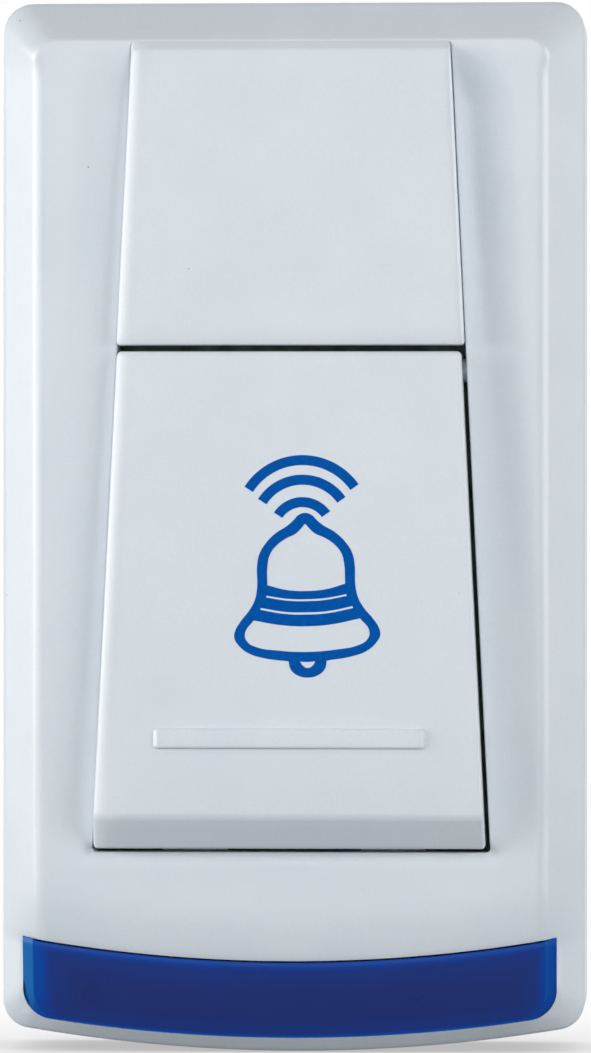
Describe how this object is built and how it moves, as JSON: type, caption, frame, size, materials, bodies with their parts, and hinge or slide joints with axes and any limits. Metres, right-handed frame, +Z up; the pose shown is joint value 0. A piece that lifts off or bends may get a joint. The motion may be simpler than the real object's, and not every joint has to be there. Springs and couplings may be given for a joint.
{
  "type": "doorbell push button",
  "caption": "Upright wall push for a wireless doorbell: bevelled white casing, raised panel, rocking button and a blue light strip.",
  "frame": {"origin": "centre of the back cover's wall face", "axes": "+Z up the wall, +X to the right as seen from the front, front faces -Y, wall plane at Y = 0"},
  "size_m": [0.045, 0.0187, 0.081],
  "materials": {
    "white_plastic": "cool white moulded plastic with a fine satin texture",
    "blue_strip": "dark blue translucent plastic",
    "board_green": "solder-masked board",
    "black_plastic": "black moulding compound",
    "plunger_grey": "dark grey plastic",
    "plated_steel": "nickel-plated steel",
    "spring_steel": "drawn spring wire",
    "battery_sleeve": "plain printed sleeve with bare metal ends",
    "copper_wire": "enamelled copper wire",
    "capacitor_sleeve": "shrunk sleeve",
    "ceramic_disc": "dipped ceramic",
    "resistor_tan": "coated resistor body",
    "lamp_white": "white lamp body with a clear front"
  },
  "bodies": {
    "casing": {"front_casing": "white_plastic", "back_cover": "white_plastic", "upper_panel": "white_plastic", "light_strip": "blue_strip", "circuit_board": "board_green", "board_screws": "plated_steel", "switch_base": "black_plastic", "switch_cover": "plated_steel", "return_spring": "spring_steel", "battery": "battery_sleeve", "battery_spring": "spring_steel", "negative_contact": "plated_steel", "positive_contact": "plated_steel", "encoder_chip": "black_plastic", "saw_resonator": "plated_steel", "rf_transistor": "black_plastic", "antenna_coil": "copper_wire", "electrolytic_capacitor": "capacitor_sleeve", "ceramic_capacitors": "ceramic_disc", "resistors": "resistor_tan", "indicator_leds": "lamp_white"},
    "button": {"push_button": "white_plastic"},
    "plunger": {"switch_plunger": "plunger_grey"}
  },
  "joints": [
    {"name": "button_press", "type": "hinge", "parent": "casing", "child": "button", "pos_m": [0, -0.0136, 0.01205], "axis": [1, 0, 0], "range_deg": [0, 1.8], "stiffness_Nm_per_rad": 0.95, "springref_deg": -1.83, "deforming": ["return_spring"]},
    {"name": "plunger_travel", "type": "slide", "parent": "casing", "child": "plunger", "axis": [0, 1, 0], "range_m": [0, 0.00035]}
  ],
  "couplings": [
    {"joint": "plunger_travel", "follows": "button_press", "m_per_rad": 0.01}
  ]
}
